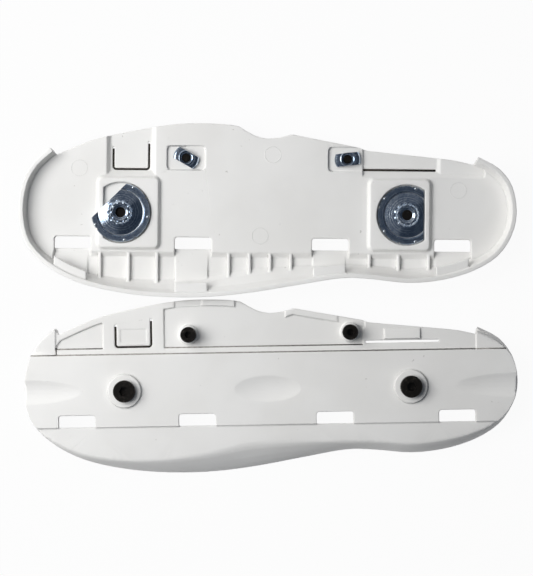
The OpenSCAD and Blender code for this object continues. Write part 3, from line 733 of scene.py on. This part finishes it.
# %% [markdown]
# ## Pips on the frame nuts
# Small bright pips are pressed up along the rim of a frame nut, a fifth of a turn apart. The fifth would
# lie where the flat is cut, so four are left. They are too small to matter in the CAD solid. Each is a
# flattened ball, set halfway into the rim where a ray from the boot side meets it, and rides the nut.

# %% Set the pips
PIP_RADIUS = 0.9 * MM
PIP_FLATNESS = 0.6
PIP_SIDES = {"u_segments": 20, "v_segments": 12}
PIP_RING = 16.2 * MM
PIPS_IN_TURN = 5
RAY_START = 50 * MM


def flat_angle(nut, axis_point):
    """The way to the flat: opposite to the middle of the nut's surface, as seen from its axis."""
    faces = nut.data.polygons
    weighted = sum((face.center * face.area for face in faces), Vector())
    middle = weighted / sum(face.area for face in faces)
    return math.atan2(axis_point.y - middle.y, axis_point.x - middle.x)


def nut_pips(nut, axis_point, bootward):
    shape = bmesh.new()
    start = flat_angle(nut, axis_point)
    for k in range(1, PIPS_IN_TURN):
        angle = start + 2 * math.pi * k / PIPS_IN_TURN
        rim = axis_point + PIP_RING * Vector((math.cos(angle), math.sin(angle), 0))
        found, spot, _, _ = nut.ray_cast(rim + bootward * RAY_START, -bootward)
        if found:
            place = Matrix.Translation(spot) @ Matrix.Diagonal((1, 1, PIP_FLATNESS, 1))
            bmesh.ops.create_uvsphere(shape, radius=PIP_RADIUS, matrix=place, **PIP_SIDES)
    return as_mesh(shape, "pips")


for side in SIDES:
    bootward = axes[side].col[2].to_3d()
    for end in ENDS:
        name = f"{side}_{end}_frame"
        axis_point = joint_at[f"{name}_bolt_turn"]
        mesh = nut_pips(nodes[f"{name}_nut"], axis_point, bootward)
        # Painted highlight: the pips are real bumps, but their lighter zinc colours paint their glints.
        bright = zinc_finish(f"{name}_pip_zinc", axis_point, [], dark=ZINC_PALE, pale=ZINC_BRIGHT)
        mesh.materials.append(bright)
        mesh.shade_smooth()
        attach(new_piece(f"{name}_nut_pips", mesh), f"{name}_nut")
        print(name, "pips, vertices", len(mesh.vertices))

# %% [markdown]
# ## The table and the light
# The pair lies on a white table under a large soft light above its toe end. A bare white floor turns
# grey where it gets less light, so most of what the camera sees of it is plain white, and the rest
# is real floor that keeps the shadow. Metal sees the same white, because reflected rays are included.

# %% Lay the floor
FLOOR_HALF = 1.5
FLOOR_GREY, FLOOR_ROUGHNESS = 0.62, 0.9
PLAIN_WHITE_SHARE = 0.95
SEEN_BY = ("Is Camera Ray", "Is Glossy Ray", "Is Transmission Ray")


def grey(level):
    return (level, level, level, 1)


def floor_finish():
    material, wire, shader = new_finish("floor_white")
    shader.inputs["Base Color"].default_value = grey(FLOOR_GREY)
    shader.inputs["Roughness"].default_value = FLOOR_ROUGHNESS
    camera_ray, glossy_ray, clear_ray = (wire.node("LightPath", out=kind) for kind in SEEN_BY)
    seen = camera_ray + glossy_ray + clear_ray
    plain = wire.node("Emission", None, {"Color": grey(1), "Strength": 1})
    lit = Wire(wire.tree, shader.outputs[0])
    both = wire.node("MixShader", None, {0: seen * PLAIN_WHITE_SHARE, 1: lit, 2: plain})
    wire.feed(wire.tree.nodes["Material Output"].inputs["Surface"], both)
    return material


floor_mesh = bpy.data.meshes.new("floor")
square = [(x * FLOOR_HALF, y * FLOOR_HALF, 0) for x, y in ((-1, -1), (1, -1), (1, 1), (-1, 1))]
floor_mesh.from_pydata(square, [], [(0, 1, 2, 3)])
floor_mesh.materials.append(floor_finish())
floor = new_piece("floor", floor_mesh)
print("floor", 2 * FLOOR_HALF, "m wide")

# %% [markdown]
# The metal shows what is above it. A plain white sky would turn the nuts into grey paper, so the sky is
# a room with one white wall on the toe side: pale low down there, dark overhead and towards the heel.
# The large light hangs close, so the plates fall off from toe to heel. It would also whiten every nut, so
# mirrored rays pass it by, as behind a polarising filter. A weaker light stands lower on the toe side,
# where the cone of a nut mirrors it as one bright patch.

# %% Hang the lights
SKY_AWAY = (1, -0.6, 1)
SKY_MIDDLE = 0.45
SKY_STOPS = [
    (0, grey(0.9)),
    (0.2, grey(0.5)),
    (0.45, grey(0.3)),
    (0.65, (0.12, 0.13, 0.15, 1)),
    (0.87, (0.14, 0.15, 0.17, 1)),
    (0.93, (0.04, 0.05, 0.065, 1)),
]
KEY = {"place": (-0.42, 0.11, 0.6), "size": 0.62, "power": 4.2}
SIDE = {"place": (-0.72, 0.13, 0.72), "size": 0.55, "power": 3}


def sky():
    world = bpy.data.worlds.new("studio")
    world.use_nodes = True
    wire = Wire(world.node_tree)
    ways = {0: wire.node("TexCoord", out="Generated"), 1: SKY_AWAY}
    away = wire.node("VectorMath", {"operation": "DOT_PRODUCT"}, ways, out="Value")
    background = world.node_tree.nodes["Background"]
    colour = (away * SKY_MIDDLE + SKY_MIDDLE).colours(SKY_STOPS)
    wire.feed(background.inputs["Color"], colour)
    return world


def soft_light(name, place, size, power, mirrored=True):
    light = bpy.data.lights.new(name, "AREA")
    light.size = size
    light.energy = power
    lamp = bpy.data.objects.new(name, light)
    scene.collection.objects.link(lamp)
    lamp.location = place
    lamp.visible_glossy = mirrored
    lamp.rotation_euler = (-Vector(place)).to_track_quat("-Z", "Y").to_euler()
    print(name, "light at", place)


scene.world = sky()
soft_light("key", **KEY, mirrored=False)
soft_light("side", **SIDE)
